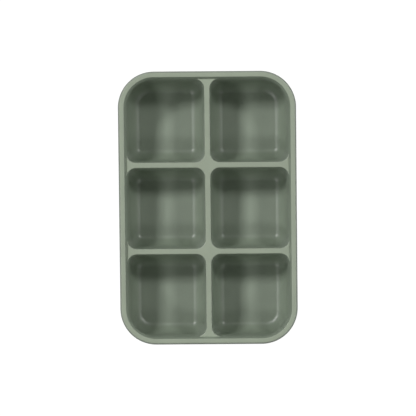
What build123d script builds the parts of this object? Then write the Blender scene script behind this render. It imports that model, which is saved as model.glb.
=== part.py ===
"""Six-cup silicone food tray for baby portions, in millimetres.

+X is the tray's width, +Y its length and +Z is up. The origin lies at the centre of
the tray's footprint, on the surface that the tray stands on.

The tray is a deck with six cup mouths, a raised rim round the deck, six cups that
hang under the deck and a floor panel in each cup, which is pushed up from below to
free a frozen portion.
"""

from build123d import *
import math
import os

# ---- Driving sizes -----------------------------------------------------------

# The whole tray.
TRAY_WIDTH = 120.0
TRAY_LENGTH = 184.0
TRAY_HEIGHT = 41.0
TRAY_CORNER_RADIUS = 24.3

# The rim that stands above the deck all the way round.
RIM_WIDTH = 4.0
RIM_RISE = 3.0
RIM_SLOPE_WIDTH = 1.2
RIM_EDGE_RADIUS = 1.0

# The deck, which holds the cup mouths apart.
DECK_THICKNESS = 4.5
DECK_EDGE_RADIUS = 1.2
MIDDLE_CUP_LENGTH = 54.6

# The cups. Their corners open out from the mouth to the floor, where they are a
# little rounder than the fillet along the floor's edge.
MOUTH_CORNER_RADIUS = 6.4
FLOOR_CORNER_MARGIN = 0.6
CUP_WALL = 1.8
CUP_FLOOR_THICKNESS = 1.6
CUP_FLOOR_FILLET = 8.0
DRAFT_ANGLE = 3.5

# The low ring under each cup, which the tray stands on.
FOOT_HEIGHT = 1.0
FOOT_WIDTH = 2.2

# The floor panel of each cup.
PANEL_CLEARANCE = 0.3
PANEL_LEDGE = 0.4
PANEL_CORNER_RADIUS = 3.0

# ---- Sizes worked out from the driving ones -----------------------------------

DECK_TOP = TRAY_HEIGHT - RIM_RISE
DECK_BOTTOM = DECK_TOP - DECK_THICKNESS
CUP_UNDERSIDE = FOOT_HEIGHT
CUP_FLOOR = CUP_UNDERSIDE + CUP_FLOOR_THICKNESS

# Two cup walls stand back to back in a divider.
DIVIDER_WIDTH = 2 * CUP_WALL
FLOOR_CORNER_RADIUS = CUP_FLOOR_FILLET + FLOOR_CORNER_MARGIN

EDGE_TO_MOUTH = RIM_WIDTH + RIM_SLOPE_WIDTH
OUTER_MOUTH_RADIUS = TRAY_CORNER_RADIUS - EDGE_TO_MOUTH
CUP_WIDTH = (TRAY_WIDTH - 2 * EDGE_TO_MOUTH - DIVIDER_WIDTH) / 2
END_CUP_LENGTH = (TRAY_LENGTH - 2 * EDGE_TO_MOUTH - 2 * DIVIDER_WIDTH - MIDDLE_CUP_LENGTH) / 2
CUP_X = (CUP_WIDTH + DIVIDER_WIDTH) / 2
END_CUP_Y = (MIDDLE_CUP_LENGTH + END_CUP_LENGTH) / 2 + DIVIDER_WIDTH

DRAFT_SLOPE = math.tan(math.radians(DRAFT_ANGLE))
OUTER_FLOOR_FILLET = CUP_FLOOR_FILLET + CUP_FLOOR_THICKNESS

ROWS = {"back": 1, "middle": 0, "front": -1}
COLUMNS = {"left": -1, "right": 1}


class Cup:
    """One cup's place and the size of its mouth at the deck's top."""

    def __init__(self, row, column):
        self.name = f"{row}_{column}"
        self.side = COLUMNS[column]
        self.end = ROWS[row]
        self.x = self.side * CUP_X
        self.y = self.end * END_CUP_Y
        self.length = END_CUP_LENGTH if self.end else MIDDLE_CUP_LENGTH

    def outline(self, inset, corner_radius, outer_radius, z):
        """The cup's outline, drawn inset from its mouth, as a face at height z.

        The corner at the tray's own corner takes outer_radius, and the others
        take corner_radius.
        """
        face = Rectangle(CUP_WIDTH - 2 * inset, self.length - 2 * inset)
        if self.end:
            face = fillet(self.corners(face)[-1], outer_radius)
            face = fillet(self.corners(face)[:3], corner_radius)
        else:
            face = fillet(face.vertices(), corner_radius)
        return Pos(self.x, self.y, z) * face

    def corners(self, face):
        """The face's vertices in order, with the nearest to the tray's own corner last."""
        return face.vertices().sort_by(
            lambda vertex: vertex.X * self.side + vertex.Y * self.end
        )

    def section(self, z, offset):
        """The cup's section at height z, offset outwards from its inner wall."""
        inset = (DECK_TOP - z) * DRAFT_SLOPE - offset
        return self.outline(inset, corner_radius_at(z) + offset, OUTER_MOUTH_RADIUS - inset, z)

    def drafted(self, offset, top, bottom):
        """A block that follows the cup's drafted wall, offset outwards, between two heights."""
        return loft([self.section(bottom, offset), self.section(top, offset)], ruled=True)


def corner_radius_at(height):
    """The radius of a cup's inner corners at a height: they open out towards the floor."""
    share = (DECK_TOP - height) / (DECK_TOP - CUP_FLOOR)
    return MOUTH_CORNER_RADIUS + share * (FLOOR_CORNER_RADIUS - MOUTH_CORNER_RADIUS)


def edges_at(shape, height):
    """The shape's edges that lie flat at a height."""
    return shape.edges().filter_by_position(Axis.Z, height - 1e-4, height + 1e-4)


def cavity(cup):
    """The space inside a cup, up to the deck's top, with its floor edge rounded."""
    block = cup.drafted(0, DECK_TOP, CUP_FLOOR)
    return fillet(edges_at(block, CUP_FLOOR), CUP_FLOOR_FILLET)


def panel_outline(cup, clearance, height):
    """The flat part of a cup's floor, less its ledge, drawn clearance inside its hole."""
    flat_inset = (DECK_TOP - CUP_FLOOR) * DRAFT_SLOPE + CUP_FLOOR_FILLET
    inset = flat_inset + PANEL_LEDGE
    return cup.outline(
        inset + clearance,
        PANEL_CORNER_RADIUS - clearance,
        OUTER_MOUTH_RADIUS - inset - clearance,
        height,
    )


def foot_outline(cup, offset, height):
    """The outline of a cup's foot, offset outwards from the panel's hole."""
    return panel_outline(cup, -offset, height)


def tray_outline(inset, height):
    """The tray's outline, drawn inset, as a face at a height."""
    face = RectangleRounded(
        TRAY_WIDTH - 2 * inset, TRAY_LENGTH - 2 * inset, TRAY_CORNER_RADIUS - inset
    )
    return Pos(0, 0, height) * face


def raised_rim():
    """The rim: upright outside, sloped inside, with its top edges rounded."""
    ring = extrude(tray_outline(0, DECK_TOP), amount=RIM_RISE)
    hollow = loft(
        [tray_outline(EDGE_TO_MOUTH, DECK_TOP), tray_outline(RIM_WIDTH, TRAY_HEIGHT)],
        ruled=True,
    )
    ring -= hollow
    return fillet(edges_at(ring, TRAY_HEIGHT), RIM_EDGE_RADIUS)


def deck(cups):
    """The deck: a plate as wide as the tray, with a mouth for each cup."""
    plate = extrude(tray_outline(0, DECK_BOTTOM), amount=DECK_THICKNESS)
    plate = fillet(edges_at(plate, DECK_BOTTOM), DECK_EDGE_RADIUS)
    for cup in cups:
        plate -= cavity(cup)
    return plate


def cup_wall(cup):
    """A cup under the deck, with its foot and the hole for its floor panel."""
    shell = cup.drafted(CUP_WALL, DECK_BOTTOM, CUP_UNDERSIDE)
    shell = fillet(edges_at(shell, CUP_UNDERSIDE), OUTER_FLOOR_FILLET)
    foot = extrude(foot_outline(cup, FOOT_WIDTH, 0), amount=CUP_FLOOR)
    hole = extrude(panel_outline(cup, 0, 0), amount=CUP_FLOOR)
    return shell + foot - hole - cavity(cup)


def floor_panel(cup):
    """The panel that closes a cup's floor, level with the floor round it."""
    return extrude(panel_outline(cup, PANEL_CLEARANCE, CUP_UNDERSIDE), amount=CUP_FLOOR_THICKNESS)


def main():
    """Build every node of the tray and write one STEP file for each."""
    cups = [Cup(row, column) for row in ROWS for column in COLUMNS]
    nodes = {"raised_rim": raised_rim(), "deck": deck(cups)}
    for cup in cups:
        nodes[f"cup_wall_{cup.name}"] = cup_wall(cup)
        nodes[f"floor_panel_{cup.name}"] = floor_panel(cup)
        capacity = cavity(cup).volume / 1000
        print(f"cup {cup.name}: {capacity:.1f} ml to the deck's top")
    os.makedirs("parts", exist_ok=True)
    for name, shape in nodes.items():
        export_step(shape, f"parts/{name}.step")


main()
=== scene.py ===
"""Looks of a six-cup silicone food tray for baby portions, in metres.

The tray is one soft moulding. It is shown here as a bead that runs round its edge, a
body with the dividers and six cups, and two thin skins over each cup's floor, each
sunk a little towards its middle.
"""

import logging
import math
from dataclasses import dataclass, field
from enum import Enum
from typing import Any, Callable, Iterable, Sequence

import bpy
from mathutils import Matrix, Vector


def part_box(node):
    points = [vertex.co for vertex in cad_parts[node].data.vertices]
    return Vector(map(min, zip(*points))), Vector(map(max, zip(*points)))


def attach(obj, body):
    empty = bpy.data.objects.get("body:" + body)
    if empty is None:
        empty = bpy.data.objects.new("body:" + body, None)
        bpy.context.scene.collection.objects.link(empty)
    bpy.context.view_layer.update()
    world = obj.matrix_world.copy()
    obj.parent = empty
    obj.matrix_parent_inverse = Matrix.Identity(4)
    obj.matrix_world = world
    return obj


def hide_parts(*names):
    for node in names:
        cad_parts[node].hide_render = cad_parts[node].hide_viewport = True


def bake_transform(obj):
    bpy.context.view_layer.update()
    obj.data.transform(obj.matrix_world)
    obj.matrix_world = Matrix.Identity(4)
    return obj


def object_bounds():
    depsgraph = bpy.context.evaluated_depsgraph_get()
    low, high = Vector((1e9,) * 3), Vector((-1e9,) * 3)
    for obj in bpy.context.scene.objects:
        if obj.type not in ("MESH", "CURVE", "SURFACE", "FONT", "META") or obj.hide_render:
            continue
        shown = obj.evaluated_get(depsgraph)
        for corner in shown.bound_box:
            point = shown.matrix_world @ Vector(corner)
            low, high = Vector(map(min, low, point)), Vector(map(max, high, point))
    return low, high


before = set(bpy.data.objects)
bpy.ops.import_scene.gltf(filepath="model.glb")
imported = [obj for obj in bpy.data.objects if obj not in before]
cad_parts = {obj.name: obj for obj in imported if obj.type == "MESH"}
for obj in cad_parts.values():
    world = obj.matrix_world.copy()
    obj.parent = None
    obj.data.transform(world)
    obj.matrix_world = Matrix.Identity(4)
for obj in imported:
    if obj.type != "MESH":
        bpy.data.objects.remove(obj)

CAD_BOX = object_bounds()
LOG = logging.getLogger("tray")

MM = 0.001
SAME_PLACE = 0.001 * MM  # nearer than this, two places count as one
LONGEST_SIDE = 1.6  # in spacings; a longer straight side is cut again
FLAT = 0.9  # how far a level face's normal has to point up or down
SHARP_ANGLE = math.radians(32)
WHITE = (1, 1, 1, 1)
ROOT_BODY = "tray"
CORNERS = tuple(Vector((x, y, 0)) for x in (-1, 1) for y in (-1, 1))


class Row(Enum):
    """The three rows of cups, each with the side of the tray's middle that it lies on."""

    BACK = 1
    MIDDLE = 0
    FRONT = -1


class Column(Enum):
    """The two columns of cups, each with the side of the tray's middle that it lies on."""

    LEFT = -1
    RIGHT = 1


# ---- Modelling by hand ---------------------------------------------------------


class Hand:
    """Operators on one mesh, used the way a modeller works at the screen."""

    def __init__(self, name: str) -> None:
        """Keep the name that the finished mesh takes."""
        self.name = name
        self.thing: bpy.types.Object | None = None

    @staticmethod
    def drop_selection() -> None:
        """Leave edit mode and deselect every object."""
        if bpy.context.object and bpy.context.object.mode != "OBJECT":
            bpy.ops.object.mode_set(mode="OBJECT")
        bpy.ops.object.select_all(action="DESELECT")

    @staticmethod
    def take(thing: bpy.types.Object) -> None:
        """Select one object alone, and make it the active one."""
        Hand.drop_selection()
        thing.select_set(True)
        bpy.context.view_layer.objects.active = thing

    def plane(self, size: Vector, centre: Vector) -> None:
        """Add a plane of a size, with its place in its mesh, and start to edit it.

        Args:
            size: The plane's width and length.
            centre: The plane's middle.
        """
        self.drop_selection()
        bpy.ops.mesh.primitive_plane_add(size=1, location=(0, 0, 0))
        self.thing = bpy.context.object
        self.thing.name = self.name
        self.thing.data.name = self.name
        bpy.ops.object.mode_set(mode="EDIT")
        bpy.ops.mesh.select_all(action="SELECT")
        bpy.ops.transform.resize(value=(size.x, size.y, 1))
        bpy.ops.transform.translate(value=centre)

    def pick(self, kind: str, wanted: Callable[[Any], bool], since: int = 0) -> None:
        """Select what is wanted among the vertices, edges or faces, and nothing else.

        Args:
            kind: VERT, EDGE or FACE.
            wanted: Says whether one of them is to be selected.
            since: The first one that is looked at.
        """
        bpy.ops.mesh.select_mode(type=kind)
        bpy.ops.mesh.select_all(action="DESELECT")
        bpy.ops.object.mode_set(mode="OBJECT")
        mesh = self.thing.data
        found = {"VERT": mesh.vertices, "EDGE": mesh.edges, "FACE": mesh.polygons}[kind]
        for item in found[since:]:
            if wanted(item):
                item.select = True
        bpy.ops.object.mode_set(mode="EDIT")

    @staticmethod
    def pick_open_edges() -> None:
        """Select the edges that only one face meets, and nothing else."""
        bpy.ops.mesh.select_mode(type="EDGE")
        bpy.ops.mesh.select_all(action="DESELECT")
        bpy.ops.mesh.select_non_manifold(
            extend=False, use_wire=False, use_boundary=True, use_multi_face=False,
            use_non_contiguous=False, use_verts=False,
        )

    def round_corner(self, towards: Vector, radius: float, segments: int) -> None:
        """Round the one corner that lies furthest in a direction.

        Args:
            towards: The direction, seen from the middle of the outline.
            radius: The corner's radius.
            segments: How many straight pieces the arc gets.
        """
        bpy.ops.object.mode_set(mode="OBJECT")
        furthest = max(vertex.co.dot(towards) for vertex in self.thing.data.vertices)
        bpy.ops.object.mode_set(mode="EDIT")
        self.pick("VERT", lambda vertex: vertex.co.dot(towards) > furthest - SAME_PLACE)
        bpy.ops.mesh.bevel(
            offset_type="OFFSET", offset=radius, segments=segments, profile=0.5, affect="VERTICES"
        )

    def cut_sides(self, spacing: float) -> None:
        """Cut the outline's long straight sides into equal lengths near a spacing."""
        while True:
            bpy.ops.object.mode_set(mode="OBJECT")
            lengths = {edge.index: self.edge_length(edge) for edge in self.thing.data.edges}
            longest = max(lengths, key=lambda index: lengths[index])
            bpy.ops.object.mode_set(mode="EDIT")
            if lengths[longest] < LONGEST_SIDE * spacing:
                return
            self.pick("EDGE", lambda edge: edge.index == longest)
            bpy.ops.mesh.subdivide(number_cuts=round(lengths[longest] / spacing) - 1)

    def edge_length(self, edge: bpy.types.MeshEdge) -> float:
        """How long an edge of the mesh is."""
        ends = [self.thing.data.vertices[index].co for index in edge.vertices]
        return (ends[0] - ends[1]).length

    def open_face(self) -> None:
        """Remove the one face, keep its outline and leave that selected."""
        bpy.ops.mesh.select_all(action="SELECT")
        bpy.ops.mesh.delete(type="ONLY_FACE")
        bpy.ops.mesh.select_mode(type="EDGE")
        bpy.ops.mesh.select_all(action="SELECT")

    def finish(self) -> bpy.types.Object:
        """Leave edit mode and shade the mesh smooth, with its sharp edges kept.

        Returns:
            The finished object.
        """
        bpy.ops.mesh.select_all(action="SELECT")
        bpy.ops.mesh.normals_make_consistent(inside=False)
        self.take(self.thing)
        bpy.ops.object.shade_smooth_by_angle(angle=SHARP_ANGLE)
        self.drop_selection()
        return self.thing


def mirrored(
    original: bpy.types.Object, name: str, sign_x: int, sign_y: int
) -> bpy.types.Object:
    """Copy an object with its own mesh, mirrored across the tray's middle planes.

    Args:
        original: The object to copy.
        name: The copy's name.
        sign_x: -1 to mirror across the width, or 1.
        sign_y: -1 to mirror along the length, or 1.

    Returns:
        The copy, with its place in its mesh and its faces outwards.
    """
    Hand.take(original)
    bpy.ops.object.duplicate(linked=False)
    copy = bpy.context.object
    copy.name = name
    copy.data.name = name
    bpy.ops.object.mode_set(mode="EDIT")
    bpy.ops.mesh.select_all(action="SELECT")
    bpy.ops.transform.resize(value=(sign_x, sign_y, 1), center_override=(0, 0, 0))
    if sign_x * sign_y < 0:
        bpy.ops.mesh.flip_normals()
    Hand.drop_selection()
    return copy


def arc(radius: float, first: float, last: float, count: int) -> list[tuple[float, float]]:
    """Points on an arc about the origin.

    Args:
        radius: The arc's radius.
        first: The first point's angle, in degrees.
        last: The last point's angle, in degrees.
        count: How many steps there are between them.

    Returns:
        Pairs of the cosine's and the sine's side.
    """
    turns = [math.radians(first + (last - first) * step / count) for step in range(count + 1)]
    return [(radius * math.cos(turn), radius * math.sin(turn)) for turn in turns]


def spread(first: float, last: float, count: int) -> list[float]:
    """The values after first, in equal steps, up to and with last."""
    return [first + (last - first) * step / count for step in range(1, count + 1)]


# ---- The tray's sizes ----------------------------------------------------------


@dataclass
class TraySizes:
    """Sizes of the moulding that the CAD frame gives, and the finer ones that it leaves out."""

    wall: float = 1.6 * MM
    cad_wall: float = 1.8 * MM
    rim_to_mouth: float = 5.2 * MM
    corner_radius: float = 24.3 * MM
    mouth_corner: float = 6.4 * MM
    draft: float = math.tan(math.radians(3.5))
    fillet_across: float = 7.7 * MM
    fillet_rise: float = 16.0 * MM
    floor_corner: float = 1.0 * MM
    outer_floor_corner: float = 7.6 * MM
    least_corner: float = 0.4 * MM
    edge_round: float = 0.35 * MM
    groove_round: float = 0.36 * MM
    side_spacing: float = 4.4 * MM
    corner_steps: int = 12
    low: Vector = field(default_factory=lambda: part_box("deck")[0].copy())
    high: Vector = field(default_factory=lambda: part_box("raised_rim")[1].copy())
    deck_top: float = field(default_factory=lambda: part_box("deck")[1].z)
    deck_bottom: float = field(default_factory=lambda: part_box("deck")[0].z)
    floor_top: float = field(default_factory=lambda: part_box("floor_panel_back_right")[1].z)
    floor_bottom: float = field(default_factory=lambda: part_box("floor_panel_back_right")[0].z)

    def wall_inset(self, height: float) -> float:
        """How far the cup's wall has leaned in from the mouth at a height."""
        return (self.deck_top - height) * self.draft

    def cup_corner(self, inset: float, height: float, outer: bool) -> float:
        """A cup's corner radius, which changes from the mouth to the floor.

        Args:
            inset: How far the outline lies inside the mouth.
            height: The outline's height.
            outer: Whether the corner is the one in the tray's own corner.

        Returns:
            The radius of the corner's arc.
        """
        mouth = self.corner_radius - self.rim_to_mouth if outer else self.mouth_corner
        foot = (self.outer_floor_corner if outer else self.floor_corner) + self.fillet_across
        low = self.floor_top + self.fillet_rise
        level = min(max(height, low), self.deck_top)
        share = (self.deck_top - level) / (self.deck_top - low)
        radius = mouth + (foot - mouth) * share + self.wall_inset(level) - inset
        return max(radius, self.least_corner)


@dataclass
class CupPlan:
    """One cup's place and mouth, read from its CAD wall."""

    row: Row
    column: Column
    sizes: TraySizes

    def __post_init__(self) -> None:
        """Work the mouth out from the box of the cup's CAD wall."""
        low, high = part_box(f"cup_wall_{self.tag}")
        drop = self.sizes.deck_top - self.sizes.deck_bottom
        grown = 2 * self.sizes.cad_wall - 2 * drop * self.sizes.draft
        self.centre = Vector(((low.x + high.x) / 2, (low.y + high.y) / 2, 0))
        self.mouth = Vector((high.x - low.x - grown, high.y - low.y - grown, 0))

    @property
    def tag(self) -> str:
        """The end of the names of this cup's pieces."""
        return f"{self.row.name}_{self.column.name}".lower()


class CupOutline(Hand):
    """A cup's outline, drawn once and then extruded along a profile."""

    def __init__(self, name: str, plan: CupPlan) -> None:
        """Keep the cup's plan."""
        super().__init__(name)
        self.plan = plan
        self.inset = 0.0
        self.height = 0.0

    def is_outer(self, side: Vector) -> bool:
        """Whether the cup's corner on a side is the one in the tray's own corner."""
        return side.x == self.plan.column.value and side.y == self.plan.row.value

    def corner_centre(self, side: Vector, inset: float, radius: float) -> Vector:
        """Where a corner's arc has its centre, seen from the cup's middle."""
        reach = self.plan.mouth / 2 - Vector((inset + radius, inset + radius, 0))
        return Vector((side.x * reach.x, side.y * reach.y, 0))

    def draw(self, inset: float, height: float) -> None:
        """Draw the rounded outline at an inset and a height, and leave it selected.

        Args:
            inset: How far the outline lies inside the mouth.
            height: The outline's height.
        """
        plan = self.plan
        size = plan.mouth - Vector((2 * inset, 2 * inset, 0))
        self.plane(size, Vector((plan.centre.x, plan.centre.y, height)))
        for side in CORNERS:
            outer = self.is_outer(side)
            radius = plan.sizes.cup_corner(inset, height, outer)
            self.round_corner(side, radius, plan.sizes.corner_steps * (2 if outer else 1))
        self.cut_sides(plan.sizes.side_spacing)
        self.open_face()
        self.inset, self.height = inset, height

    def run(self, profile: Iterable[tuple[float, float]]) -> None:
        """Extrude the selected loop through a profile.

        Args:
            profile: Pairs of an inset from the mouth and a height.
        """
        for inset, height in profile:
            self.thing.update_from_editmode()
            points, edges = len(self.thing.data.vertices), len(self.thing.data.edges)
            bpy.ops.mesh.extrude_region_move(
                TRANSFORM_OT_translate={"value": (0, 0, height - self.height)}
            )
            before = (self.inset, self.height)
            self.height = height
            self.rescale(self.squeeze(inset))
            for side in CORNERS:
                self.reshape_corner(side, before, inset, points)
            self.inset = inset
            self.pick("EDGE", lambda edge: min(edge.vertices) >= points, edges)

    def squeeze(self, inset: float) -> tuple[float, float]:
        """How far the sides close in along X and Y from the present inset to the next."""
        half = self.plan.mouth / 2
        return (half.x - inset) / (half.x - self.inset), (half.y - inset) / (half.y - self.inset)

    def rescale(self, share: tuple[float, float]) -> None:
        """Scale what is selected about the cup's middle."""
        centre = self.plan.centre
        bpy.ops.transform.resize(
            value=(share[0], share[1], 1), center_override=(centre.x, centre.y, self.height)
        )

    def reshape_corner(
        self, side: Vector, before: tuple[float, float], inset: float, since: int
    ) -> None:
        """Give one corner of the newest loop its own radius.

        Args:
            side: The corner's side of the cup's middle.
            before: The inset and the height of the loop that this one was pulled from.
            inset: The newest loop's inset.
            since: The newest loop's first vertex.
        """
        sizes, middle, share = self.plan.sizes, self.plan.centre, self.squeeze(inset)
        outer = self.is_outer(side)
        old = sizes.cup_corner(before[0], before[1], outer)
        new = sizes.cup_corner(inset, self.height, outer)
        start = self.corner_centre(side, before[0], old)
        start = Vector((start.x * share[0], start.y * share[1], 0))
        slack = 0.02 * MM

        def in_corner(vertex: bpy.types.MeshVertex) -> bool:
            """Whether a vertex lies on the corner's arc."""
            past = vertex.co - middle - start
            return past.x * side.x > -slack and past.y * side.y > -slack

        self.pick("VERT", in_corner, since)
        place = middle + start
        bpy.ops.transform.resize(
            value=(new / old / share[0], new / old / share[1], 1),
            center_override=(place.x, place.y, self.height),
        )
        bpy.ops.transform.translate(value=self.corner_centre(side, inset, new) - start)


# ---- The pieces ----------------------------------------------------------------


@dataclass
class CupProfile:
    """A cup's section, from the deck's top down inside it and back up outside it.

    The outer fillet starts at an angle in degrees, where the foot's outer side meets it.
    """

    sizes: TraySizes
    deck_margin: float = 0.85 * MM
    underside: float = 0.5 * MM
    seam_ledge: float = 0.8 * MM
    foot_width: float = 2.25 * MM
    foot_round: float = 0.5 * MM
    foot_gap: float = 0.3 * MM
    foot_lean: float = 0.05 * MM
    mouth_steps: int = 5
    round_steps: int = 4
    wall_steps: int = 10
    outer_wall_steps: int = 8
    fillet_steps: int = 20
    outer_fillet_steps: int = 10
    outer_fillet_start: float = 80.0

    @property
    def fillet_centre(self) -> tuple[float, float]:
        """The inset and height of the centre of the oval arc along the floor's edge."""
        sizes = self.sizes
        height = sizes.floor_top + sizes.fillet_rise
        turn = math.radians(self.meeting_angle(sizes.fillet_across, sizes.fillet_rise))
        meeting = height - sizes.fillet_rise * math.sin(turn)
        return sizes.wall_inset(meeting) + sizes.fillet_across * math.cos(turn), height

    def meeting_angle(self, across: float, rise: float) -> float:
        """Where on an oval arc the leaning wall runs smoothly into it, in degrees."""
        return math.degrees(math.atan(self.sizes.draft * rise / across))

    @property
    def seam(self) -> float:
        """The inset at which the skins over the floor begin."""
        return self.fillet_centre[0] + self.seam_ledge

    @property
    def groove_top(self) -> float:
        """The height of the deck's underside between the cups."""
        return self.sizes.deck_bottom + self.underside

    def inside(self) -> list[tuple[float, float]]:
        """The section from the flat deck to the seam on the cup's floor."""
        sizes = self.sizes
        edge = sizes.edge_round
        points = [
            (sizes.wall_inset(sizes.deck_top - edge + up) - edge + across, sizes.deck_top - edge + up)
            for across, up in arc(edge, 90, 0, self.mouth_steps)
        ]
        inset, height = self.fillet_centre
        across, rise = sizes.fillet_across, sizes.fillet_rise
        start = self.meeting_angle(across, rise)
        fillet = [
            (inset - across * side, height - rise * down)
            for side, down in arc(1, start, 90, self.fillet_steps)
        ]
        for level in spread(points[-1][1], fillet[0][1], self.wall_steps)[:-1]:
            points.append((sizes.wall_inset(level), level))
        return points + fillet + [(self.seam, sizes.floor_top)]

    def outside(self) -> list[tuple[float, float]]:
        """The section from the seam under the floor, round the foot and up to the deck."""
        sizes, steps = self.sizes, self.round_steps
        low, seam, turn = sizes.floor_bottom, self.seam, self.foot_round
        points = [(seam, low), (seam - self.foot_gap, low)]
        inner = seam - self.foot_gap - self.foot_lean - turn
        outer = seam - self.foot_width + turn
        points += [(inner + across, turn - down) for across, down in arc(turn, 0, 90, steps)]
        points += [(outer - across, turn - down) for across, down in arc(turn, 90, 0, steps)]
        across, rise = sizes.fillet_across + sizes.wall, sizes.fillet_rise + sizes.wall
        inset, height = self.fillet_centre[0], low + rise
        start, end = self.outer_fillet_start, self.meeting_angle(across, rise)
        points += [
            (inset - across * side, height - rise * down)
            for side, down in arc(1, start, end, self.outer_fillet_steps)
        ]
        turn = sizes.groove_round
        root = self.groove_top - turn
        for level in spread(points[-1][1], root, self.outer_wall_steps):
            points.append((sizes.wall_inset(level) - sizes.wall, level))
        side = sizes.wall_inset(root) - sizes.wall - turn
        points += [(side + across, root + up) for across, up in arc(turn, 0, 90, steps)[1:]]
        return points


@dataclass
class TrayBody:
    """The dividers and the six cups, as one closed mesh."""

    sizes: TraySizes
    profile: CupProfile
    plate_inset: float = 2.6 * MM

    def sleeve(self, plan: CupPlan, name: str) -> bpy.types.Object:
        """Model one cup's two walls, open at the deck and at the seam under it.

        Args:
            plan: The cup's place and mouth.
            name: The name of the mesh.

        Returns:
            The cup's mesh, not yet joined to the deck.
        """
        cup = CupOutline(name, plan)
        cup.draw(-self.profile.deck_margin, self.sizes.deck_top)
        cup.run(self.profile.inside())
        cup.run(self.profile.outside())
        cup.drop_selection()
        return cup.thing

    def plate(self) -> Hand:
        """Model the deck's edge, which lies hidden inside the bead."""
        sizes = self.sizes
        edge = Hand("tray_body")
        top = Vector((0, 0, sizes.deck_top))
        span = sizes.high - sizes.low
        edge.plane(Vector((span.x - 2 * self.plate_inset, span.y - 2 * self.plate_inset, 0)), top)
        for side in CORNERS:
            edge.round_corner(side, sizes.corner_radius - self.plate_inset, 2 * sizes.corner_steps)
        edge.cut_sides(sizes.side_spacing)
        edge.open_face()
        drop = self.profile.groove_top - sizes.deck_top
        bpy.ops.mesh.extrude_region_move(TRANSFORM_OT_translate={"value": (0, 0, drop)})
        edge.drop_selection()
        return edge

    def build(self, plans: Sequence[CupPlan]) -> bpy.types.Object:
        """Model one corner cup and one middle cup, mirror the others and join all to the deck.

        Args:
            plans: The six cups.

        Returns:
            The finished body.
        """
        models = {}
        for plan in plans:
            if plan.column is Column.RIGHT and plan.row is not Row.FRONT:
                models[abs(plan.row.value)] = self.sleeve(plan, f"sleeve_{plan.tag}")
        sleeves = list(models.values())
        for plan in plans:
            if plan.column is Column.RIGHT and plan.row is not Row.FRONT:
                continue
            model = models[abs(plan.row.value)]
            sign_y = -1 if plan.row is Row.FRONT else 1
            sleeves.append(mirrored(model, f"sleeve_{plan.tag}", plan.column.value, sign_y))
        edge = self.plate()
        edge.take(edge.thing)
        for sleeve in sleeves:
            sleeve.select_set(True)
        bpy.ops.object.join()
        bpy.ops.object.mode_set(mode="EDIT")
        for level in (self.sizes.deck_top, self.profile.groove_top):
            self.fill_between(edge, level)
        return edge.finish()

    @staticmethod
    def fill_between(edge: Hand, level: float) -> None:
        """Fill the flat between the open loops that lie at a height."""
        edge.pick_open_edges()
        bpy.ops.object.mode_set(mode="OBJECT")
        mesh = edge.thing.data
        at_level = {point.index for point in mesh.vertices if abs(point.co.z - level) < SAME_PLACE}
        open_edges = {
            item.index for item in mesh.edges if item.select and at_level.issuperset(item.vertices)
        }
        bpy.ops.object.mode_set(mode="EDIT")
        edge.pick("EDGE", lambda item: item.index in open_edges)
        bpy.ops.mesh.fill(use_beauty=True)


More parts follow.
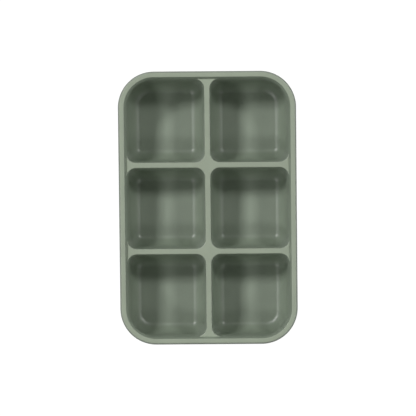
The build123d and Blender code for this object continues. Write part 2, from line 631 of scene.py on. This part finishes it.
@dataclass
class RimBead:
    """The raised bead round the tray's edge, with the step down to the cups.

    The step's points are in millimetres: how far each lies inside the tray's outline,
    and how far below the bead's top. Angles are in degrees.
    """

    sizes: TraySizes
    side_lean: float = 0.75 * MM
    side_angle: float = 6.0
    top_round: float = 0.5 * MM
    bottom_round: float = 1.2 * MM
    crown_width: float = 3.62 * MM
    inner_round: float = 0.4 * MM
    inner_angle: float = 20.0
    lip: float = 4.3 * MM
    lip_drop: float = 1.2 * MM
    round_steps: int = 6
    inner_steps: int = 5
    step: tuple[tuple[float, float], ...] = (
        (4.44, 1.25), (4.8, 2.2), (5.14, 3.1), (5.225, 3.4), (5.24, 3.6),
    )

    def crown(self) -> list[tuple[float, float]]:
        """The section from the leaning outer side over the bead and down to the cups' walls."""
        top = self.sizes.high.z
        edge = top - self.top_round
        points = [
            (self.side_lean + self.top_round - across, edge + up)
            for across, up in arc(self.top_round, self.side_angle, 90, self.round_steps)
        ]
        for across, up in arc(self.inner_round, 90, self.inner_angle, self.inner_steps):
            points.append((self.crown_width + across, top - self.inner_round + up))
        return points + [(across * MM, top - down * MM) for across, down in self.step]

    def build(self) -> bpy.types.Object:
        """Model the bead as a closed ring.

        Returns:
            The finished bead.
        """
        sizes = self.sizes
        ring = Hand("rim_bead")
        span = sizes.high - sizes.low
        start = sizes.deck_bottom + self.bottom_round
        ring.plane(Vector((span.x, span.y, 0)), Vector((0, 0, start)))
        for side in CORNERS:
            ring.round_corner(side, sizes.corner_radius, 3 * sizes.corner_steps)
        ring.cut_sides(sizes.side_spacing)
        self.run_up(ring, start)
        self.run_under(ring, start)
        self.join_inside(ring)
        return ring.finish()

    def run_up(self, ring: Hand, start: float) -> None:
        """Shape the outer side, the top and the step from the upper face.

        Args:
            ring: The mesh, whose face is still one flat outline.
            start: The height of that outline.
        """
        bpy.ops.mesh.select_mode(type="FACE")
        bpy.ops.mesh.select_all(action="SELECT")
        points = self.crown()
        rise = (points[0][1] - start) / 2
        bpy.ops.mesh.extrude_region_move(TRANSFORM_OT_translate={"value": (0, 0, rise)})
        self.inset_along([(0, start + rise)] + points)
        bpy.ops.mesh.delete(type="ONLY_FACE")

    def run_under(self, ring: Hand, start: float) -> None:
        """Shape the rounded lower edge, the flat underside and the lip's inner side.

        Args:
            ring: The mesh, with its lower face still whole.
            start: The height of that face.
        """
        bottom, turn = self.sizes.deck_bottom, self.bottom_round

        def is_lower(face: bpy.types.MeshPolygon) -> bool:
            """Whether a face is the flat one that looks down."""
            return abs(face.center.z - start) < SAME_PLACE and abs(face.normal.z) > FLAT

        ring.pick("FACE", is_lower)
        bend = arc(turn, 0, 90, self.round_steps)
        points = [(turn - across, start - down) for across, down in bend]
        self.inset_along(points + [(self.lip, bottom)], up=-1)
        rise = self.sizes.deck_top - self.lip_drop - bottom
        bpy.ops.mesh.extrude_region_move(TRANSFORM_OT_translate={"value": (0, 0, rise)})
        bpy.ops.mesh.delete(type="ONLY_FACE")

    @staticmethod
    def inset_along(points: Sequence[tuple[float, float]], up: int = 1) -> None:
        """Inset the selected face through a section.

        Args:
            points: Pairs of an offset from the tray's outline and a height.
            up: 1 where the face looks up, or -1.
        """
        for (before, low), (after, high) in zip(points, points[1:]):
            bpy.ops.mesh.inset(
                thickness=after - before,
                depth=up * (high - low),
                use_even_offset=True,
                use_boundary=True,
            )

    @staticmethod
    def join_inside(ring: Hand) -> None:
        """Bridge the two open loops, which lie hidden inside the tray's body."""
        ring.pick_open_edges()
        bpy.ops.mesh.bridge_edge_loops()


class Side(Enum):
    """The two sides of a cup's floor, each with the direction in which it faces."""

    TOP = 1
    BASE = -1


@dataclass
class FloorSkin:
    """One side of a cup's floor: a thin closed skin that sinks a little towards its middle.

    The skin meets the tray's body at its edge and sinks furthest at its middle. Each
    ring is a little rounder than the one outside it, by the share that rounding gives.
    """

    sizes: TraySizes
    profile: CupProfile
    sink: float = 0.3 * MM
    thickness: float = 0.06 * MM
    rings: int = 16
    rounding: float = 0.2

    def level(self, side: Side) -> float:
        """The height of a skin's edge."""
        return self.sizes.floor_top if side is Side.TOP else self.sizes.floor_bottom

    def depth(self, share: float) -> float:
        """How far a skin has sunk at a share of the way from its middle to its edge."""
        return self.sink * (1 - share * share) ** 2

    def build(self, plan: CupPlan, side: Side) -> bpy.types.Object:
        """Model one skin, from its edge to its middle, and give it its thickness.

        Args:
            plan: The cup's place and mouth.
            side: Which side of the floor the skin is on.

        Returns:
            The finished skin.
        """
        level = self.level(side)
        skin = CupOutline(f"floor_{side.name.lower()}_{plan.tag}", plan)
        skin.draw(self.profile.seam, level)
        last = 1.0
        for share in spread(1, 1 / self.rings, self.rings - 1):
            height = level - self.depth(share)
            bpy.ops.mesh.extrude_region_move(
                TRANSFORM_OT_translate={"value": (0, 0, height - skin.height)}
            )
            skin.height = height
            skin.rescale((share / last, share / last))
            bpy.ops.transform.tosphere(
                value=self.rounding, center_override=(plan.centre.x, plan.centre.y, height)
            )
            last = share
        bpy.ops.mesh.edge_face_add()
        bpy.ops.mesh.poke(offset=0)
        self.thicken(skin, side)
        return skin.finish()

    def thicken(self, skin: Hand, side: Side) -> None:
        """Turn the skin to face outwards and give it its thickness inwards."""
        bpy.ops.object.mode_set(mode="OBJECT")
        faces = skin.thing.data.polygons
        upward = sum(face.normal.z * face.area for face in faces)
        bpy.ops.object.mode_set(mode="EDIT")
        if upward * side.value < 0:
            bpy.ops.mesh.select_all(action="SELECT")
            bpy.ops.mesh.flip_normals()
        bpy.ops.object.mode_set(mode="OBJECT")
        solid = skin.thing.modifiers.new("thickness", "SOLIDIFY")
        solid.thickness = self.thickness
        solid.offset = -1
        bpy.context.view_layer.objects.active = skin.thing
        bpy.ops.object.modifier_apply(modifier=solid.name)
        bpy.ops.object.mode_set(mode="EDIT")


@dataclass
class SoftShape:
    """The small bends of a soft moulding, which is nowhere quite straight.

    The tray opens out towards its back and is a little stretched along its length, its
    right side lies nearer the front than its left, and its middle sags towards the front.
    """

    low: Vector
    high: Vector
    flare: float = 0.2 * MM
    stretch: float = 0.15 * MM
    skew: float = 0.15 * MM
    sag: float = 0.3 * MM
    columns: int = 3
    rows: int = 4

    def shift(self, across: float, along: float) -> Vector:
        """Work out how far one place moves.

        Args:
            across: The place, from -1 at the left edge to 1 at the right.
            along: The place, from -1 at the front edge to 1 at the back.

        Returns:
            The move.
        """
        sideways = self.flare * across * along
        lengthways = self.stretch * along - self.skew * across - self.sag * (1 - along**2)
        return Vector((sideways, lengthways, 0))

    def lattice(self) -> bpy.types.Object:
        """Set up the lattice with its points shifted.

        Returns:
            The lattice.
        """
        Hand.drop_selection()
        bpy.ops.object.add(type="LATTICE", location=(self.low + self.high) / 2)
        lattice = bpy.context.object
        lattice.name = "soft_shape"
        span = self.high - self.low
        lattice.scale = span
        cage = lattice.data
        cage.points_u, cage.points_v, cage.points_w = self.columns, self.rows, 2
        cage.interpolation_type_u = cage.interpolation_type_v = "KEY_CARDINAL"
        for point in cage.points:
            move = self.shift(2 * point.co.x, 2 * point.co.y)
            point.co_deform = point.co_deform + Vector((move.x / span.x, move.y / span.y, 0))
        return lattice

    def apply_to(self, pieces: Iterable[bpy.types.Object]) -> None:
        """Bend the pieces with one lattice, and take the lattice away.

        Args:
            pieces: The finished pieces.
        """
        lattice = self.lattice()
        for piece in pieces:
            Hand.take(piece)
            bend = piece.modifiers.new("soft_shape", "LATTICE")
            bend.object = lattice
            bpy.ops.object.modifier_apply(modifier=bend.name)
        Hand.take(lattice)
        bpy.ops.object.delete()


# ---- Finishes ------------------------------------------------------------------


class Wire:
    """A shader value that Python's own operators add Math nodes to."""

    def __init__(self, paint: "Paint", socket: bpy.types.NodeSocket) -> None:
        """Keep the socket and the material that it belongs to."""
        self.paint = paint
        self.socket = socket

    def maths(self, operation: str, *values: Any) -> "Wire":
        """Add one Math node.

        Args:
            operation: The Math node's operation.
            values: Its inputs, as wires or numbers.

        Returns:
            The node's result.
        """
        return self.paint.node("ShaderNodeMath", {"operation": operation}, list(values))

    def __add__(self, other: Any) -> "Wire":
        """This value plus another."""
        return self.maths("ADD", self, other)

    def __mul__(self, other: Any) -> "Wire":
        """This value times another."""
        return self.maths("MULTIPLY", self, other)

    def __sub__(self, other: Any) -> "Wire":
        """This value less another."""
        return self.maths("SUBTRACT", self, other)

    def __rsub__(self, other: Any) -> "Wire":
        """Another value less this one."""
        return self.maths("SUBTRACT", other, self)

    __radd__ = __add__
    __rmul__ = __mul__


class Paint:
    """A material's node tree, with one method that adds any node."""

    def __init__(self, name: str) -> None:
        """Start a material with a shader and an output."""
        self.material = bpy.data.materials.new(name)
        self.material.use_nodes = True
        self.tree = self.material.node_tree
        self.shader = self.tree.nodes["Principled BSDF"]
        self.place = self.node("ShaderNodeTexCoord", {}, [], "Object")
        self.facing = self.node("ShaderNodeTexCoord", {}, [], "Normal")

    def node(self, kind: str, settings: dict[str, Any], values: Any, output: Any = 0) -> Wire:
        """Add a node, set it up and link it.

        Args:
            kind: The node's type.
            settings: Its settings, which are set first.
            values: Its inputs, in order or by name, as wires or plain values.
            output: Which of its outputs is wanted.

        Returns:
            That output.
        """
        made = self.tree.nodes.new(kind)
        for name, value in settings.items():
            setattr(made, name, value)
        pairs = values.items() if isinstance(values, dict) else enumerate(values)
        for key, value in pairs:
            self.feed(made.inputs[key], value)
        return Wire(self, made.outputs[output])

    def feed(self, socket: bpy.types.NodeSocket, value: Any) -> None:
        """Link a wire to a socket, or set the socket to a plain value."""
        if isinstance(value, Wire):
            self.tree.links.new(value.socket, socket)
        else:
            socket.default_value = value

    def noise(self, size: float, detail: float, rough: float = 0.5) -> Wire:
        """Soft noise from 0 to 1 whose blobs are about a size across."""
        inputs = {"Vector": self.place, "Scale": 1 / size, "Detail": detail, "Roughness": rough}
        return self.node("ShaderNodeTexNoise", {"noise_dimensions": "3D"}, inputs, "Fac")

    def between(self, value: Wire, low: float, high: float) -> Wire:
        """Where a value lies between two others, from 0 at the low one to 1 at the high one."""
        return self.node("ShaderNodeMapRange", {"clamp": True}, [value, low, high, 0, 1])

    def mix(self, factor: Any, first: Any, second: Any) -> Wire:
        """Mix two colours."""
        made = self.tree.nodes.new("ShaderNodeMix")
        made.data_type = "RGBA"
        for key, value in ((0, factor), (6, first), (7, second)):
            self.feed(made.inputs[key], value)
        return Wire(self, made.outputs[2])


def tone(colour: Sequence[float], factor: float) -> tuple[float, float, float, float]:
    """A colour made darker or lighter by a factor."""
    red, green, blue = (channel * factor for channel in colour)
    return red, green, blue, 1.0


@dataclass(frozen=True)
class SiliconeFinish:
    """Soft satin silicone in one pigment, with the fine grain of the mould.

    The flat tops of the rim and the dividers are painted paler: painted light, standing in for the
    lamps' light falling on them.
    """

    name: str
    colour: tuple[float, float, float]
    # pale: the colour of the high flat tops, a painted highlight
    pale: tuple[float, float, float]
    shade: float = 0.95
    cloud_size: float = 19 * MM
    cloud_range: tuple[float, float] = (0.35, 0.65)
    fleck_size: float = 1.1 * MM
    fleck_range: tuple[float, float] = (0.3, 0.7)
    fleck_share: float = 0.3
    painted_light_top_heights: tuple[float, float] = (36.8 * MM, 37.9 * MM)
    painted_light_top_slopes: tuple[float, float] = (0.7, 0.95)
    roughness: float = 0.44
    roughness_swing: float = 0.03
    handling_size: float = 9 * MM
    gloss: float = 1.0
    density: float = 1.6
    grain_size: float = 0.22 * MM
    grain_strength: float = 0.05
    dimple_size: float = 4 * MM
    dimple_strength: float = 0.12
    relief_strength: float = 0.2
    relief_depth: float = 0.05 * MM

    def mottled(self, colour: Sequence[float], paint: Paint, mottle: Wire) -> Wire:
        """A colour that wanders a little lighter and darker."""
        return paint.mix(mottle, tone(colour, self.shade), tone(colour, 2 - self.shade))

    def pigment(self, paint: Paint) -> Wire:
        """The silicone's colour, painted paler on the high flat tops as painted light.

        Args:
            paint: The material's node tree.

        Returns:
            The colour.
        """
        cloud = paint.between(paint.noise(self.cloud_size, 3), *self.cloud_range)
        fleck = paint.between(paint.noise(self.fleck_size, 2), *self.fleck_range)
        mottle = cloud * (1 - self.fleck_share) + fleck * self.fleck_share
        height = paint.node("ShaderNodeSeparateXYZ", {}, [paint.place], "Z")
        upward = paint.node("ShaderNodeSeparateXYZ", {}, [paint.facing], "Z")
        # Painted light: the high, upward-facing tops get the pale colour, standing in for the light
        # falling on them.
        high = paint.between(height, *self.painted_light_top_heights)
        level = paint.between(upward, *self.painted_light_top_slopes)
        colour = self.mottled(self.colour, paint, mottle)
        pale = self.mottled(self.pale, paint, mottle)
        return paint.mix(high * level, colour, pale)

    def relief(self, paint: Paint) -> Wire:
        """The surface's grain and shallow dimples.

        Args:
            paint: The material's node tree.

        Returns:
            The normal.
        """
        grain = paint.noise(self.grain_size, 2) * self.grain_strength
        dimples = paint.noise(self.dimple_size, 2) * self.dimple_strength
        inputs = {
            "Strength": self.relief_strength,
            "Distance": self.relief_depth,
            "Height": grain + dimples,
        }
        return paint.node("ShaderNodeBump", {}, inputs)

    def build(self) -> bpy.types.Material:
        """Make the material.

        Returns:
            The material.
        """
        paint = Paint(self.name)
        handled = paint.noise(self.handling_size, 4, 0.6)
        sockets = paint.shader.inputs
        paint.feed(sockets["Base Color"], self.pigment(paint))
        paint.feed(
            sockets["Roughness"], self.roughness + self.roughness_swing * (handled * 2 - 1)
        )
        paint.feed(sockets["Normal"], self.relief(paint))
        sockets["Specular IOR Level"].default_value = self.gloss
        sockets["IOR"].default_value = self.density
        return paint.material


def dress(piece: bpy.types.Object, material: bpy.types.Material) -> None:
    """Give a piece one material."""
    piece.data.materials.clear()
    piece.data.materials.append(material)


# ---- Studio --------------------------------------------------------------------


@dataclass(frozen=True)
class Softbox:
    """A soft lamp high over the tray, placed and sized by its share of its height."""

    name: str
    across: float
    along: float
    width: float
    length: float
    radiance: float

    def hang(self, height: float) -> None:
        """Hang the lamp, level and looking down.

        Args:
            height: How high it hangs.
        """
        data = bpy.data.lights.new(self.name, "AREA")
        data.shape = "RECTANGLE"
        data.size, data.size_y = self.width * height, self.length * height
        data.energy = math.pi * data.size * data.size_y * self.radiance
        lamp = bpy.data.objects.new(self.name, data)
        lamp.location = (self.across * height, self.along * height, height)
        bpy.context.scene.collection.objects.link(lamp)


SOFTBOXES = (
    Softbox("back_left", -0.63, 0.5, 0.23, 0.22, 52),
    Softbox("back_right", 0.63, 0.5, 0.20, 0.18, 38.5),
    Softbox("front_left", -0.64, -0.48, 0.19, 0.16, 31.5),
    Softbox("front_right", 0.6, -0.48, 0.17, 0.15, 18),
)


@dataclass(frozen=True)
class SidePanel:
    """A large pale panel low beside the tray, which faces it."""

    name: str
    azimuth: float
    elevation: float
    height: float
    radiance: float
    width: float = 1.05

    def stand(self, distance: float) -> None:
        """Stand the panel up.

        Args:
            distance: How far away it stands.
        """
        turn, rise = math.radians(self.azimuth), math.radians(self.elevation)
        direction = Vector(
            (math.cos(rise) * math.cos(turn), math.cos(rise) * math.sin(turn), math.sin(rise))
        )
        data = bpy.data.lights.new(self.name, "AREA")
        data.shape = "RECTANGLE"
        data.size, data.size_y = self.width * distance, self.height * distance
        data.energy = math.pi * data.size * data.size_y * self.radiance
        panel = bpy.data.objects.new(self.name, data)
        panel.location = direction * distance
        panel.rotation_euler = direction.to_track_quat("Z", "Y").to_euler()
        bpy.context.scene.collection.objects.link(panel)


SIDE_PANELS = (
    SidePanel("right_panel", 0, 23, 0.6, 1.0),
    SidePanel("left_panel", 180, 29, 0.42, 0.75),
    SidePanel("front_panel", 270, 12, 0.21, 0.65),
    SidePanel("back_panel", 90, 12, 0.21, 0.7),
)


@dataclass
class Studio:
    """A white floor, a camera straight above and soft lamps around it."""

    distance: float = 3.4
    frame_width: float = 0.2805
    roll: float = math.radians(-0.6)
    aim: tuple[float, float] = (0.0, -0.2 * MM)
    sensor: float = 36.0
    view_end: float = 20.0
    lamp_height: float = 5.0
    ambient: float = 0.0
    floor_size: float = 8.0
    floor_drop: float = 0.05 * MM
    floor_grey: float = 0.6
    floor_roughness: float = 0.9
    glow_strength: float = 1.22
    glow_share: float = 0.8

    def camera(self) -> None:
        """Set the camera high over the tray, with its frame measured at the rim's top."""
        data = bpy.data.cameras.new("overhead")
        data.sensor_width = self.sensor
        data.lens = self.sensor * self.distance / self.frame_width
        data.clip_end = self.view_end
        seen = bpy.data.objects.new("overhead", data)
        seen.location = (self.aim[0], self.aim[1], CAD_BOX[1].z + self.distance)
        seen.rotation_euler = (0, 0, self.roll)
        bpy.context.scene.collection.objects.link(seen)
        bpy.context.scene.camera = seen

    def world(self) -> None:
        """Leave the light to the lamps, apart from the ambient share, and show white behind."""
        world = bpy.data.worlds.new("room")
        bpy.context.scene.world = world
        world.use_nodes = True
        tree = world.node_tree
        back = tree.nodes["Background"]
        back.inputs["Color"].default_value = WHITE
        back.inputs["Strength"].default_value = self.ambient
        white = tree.nodes.new("ShaderNodeBackground")
        white.inputs["Color"].default_value = WHITE
        white.inputs["Strength"].default_value = 1
        rays = tree.nodes.new("ShaderNodeLightPath")
        mix = tree.nodes.new("ShaderNodeMixShader")
        tree.links.new(rays.outputs["Is Camera Ray"], mix.inputs[0])
        tree.links.new(back.outputs[0], mix.inputs[1])
        tree.links.new(white.outputs[0], mix.inputs[2])
        tree.links.new(mix.outputs[0], tree.nodes["World Output"].inputs["Surface"])

    def floor(self) -> None:
        """Lay the white floor, which keeps the tray's shadow."""
        Hand.drop_selection()
        level = CAD_BOX[0].z - self.floor_drop
        bpy.ops.mesh.primitive_plane_add(size=self.floor_size, location=(0, 0, level))
        floor = bpy.context.object
        floor.name = "floor"
        paint = Paint("white_floor")
        tree = paint.tree
        paint.shader.inputs["Base Color"].default_value = tone(WHITE[:3], self.floor_grey)
        paint.shader.inputs["Roughness"].default_value = self.floor_roughness
        glow = tree.nodes.new("ShaderNodeEmission")
        glow.inputs["Strength"].default_value = self.glow_strength
        rays = tree.nodes.new("ShaderNodeLightPath")
        share = tree.nodes.new("ShaderNodeMath")
        share.operation = "MULTIPLY"
        tree.links.new(rays.outputs["Is Camera Ray"], share.inputs[0])
        share.inputs[1].default_value = self.glow_share
        mix = tree.nodes.new("ShaderNodeMixShader")
        tree.links.new(share.outputs[0], mix.inputs[0])
        tree.links.new(paint.shader.outputs[0], mix.inputs[1])
        tree.links.new(glow.outputs[0], mix.inputs[2])
        tree.links.new(mix.outputs[0], tree.nodes["Material Output"].inputs["Surface"])
        floor.data.materials.append(paint.material)

    def build(self) -> None:
        """Set up the view, the lamps, the room and the floor."""
        bpy.context.scene.view_settings.view_transform = "Standard"
        self.camera()
        for softbox in SOFTBOXES:
            softbox.hang(self.lamp_height)
        for panel in SIDE_PANELS:
            panel.stand(self.lamp_height)
        self.world()
        self.floor()


# ---- Putting it together -------------------------------------------------------


def report(piece: bpy.types.Object) -> None:
    """Log a finished piece and how many faces it has."""
    LOG.info("%s: %d faces", piece.name, len(piece.data.polygons))


def main() -> None:
    """Build the studio, the pieces and their finishes, and tie the body and the bead to the tray's
    root body.
    """
    logging.basicConfig(level=logging.INFO, format="%(message)s")
    Studio().build()
    sizes = TraySizes()
    profile = CupProfile(sizes)
    plans = [CupPlan(row, column, sizes) for row in Row for column in Column]
    # pale is painted light: the brighter colour of the lit flat tops.
    sage = SiliconeFinish(
        "sage_silicone", colour=(0.291, 0.346, 0.269), pale=(0.376, 0.44, 0.33)
    ).build()

    body = TrayBody(sizes, profile).build(plans)
    bead = RimBead(sizes).build()
    maker = FloorSkin(sizes, profile)
    skins = [(plan, side, maker.build(plan, side)) for plan in plans for side in Side]
    pieces = [body, bead] + [skin for _, _, skin in skins]
    SoftShape(sizes.low, sizes.high).apply_to(pieces)
    for piece in pieces:
        dress(piece, sage)
        report(piece)

    for piece in (body, bead):
        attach(piece, ROOT_BODY)
    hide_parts("deck", *[f"cup_wall_{plan.tag}" for plan in plans])
    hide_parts("raised_rim")
    for plan, side, skin in skins:
        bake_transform(skin)
        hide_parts(f"floor_panel_{plan.tag}")


if __name__ == "__main__":
    main()
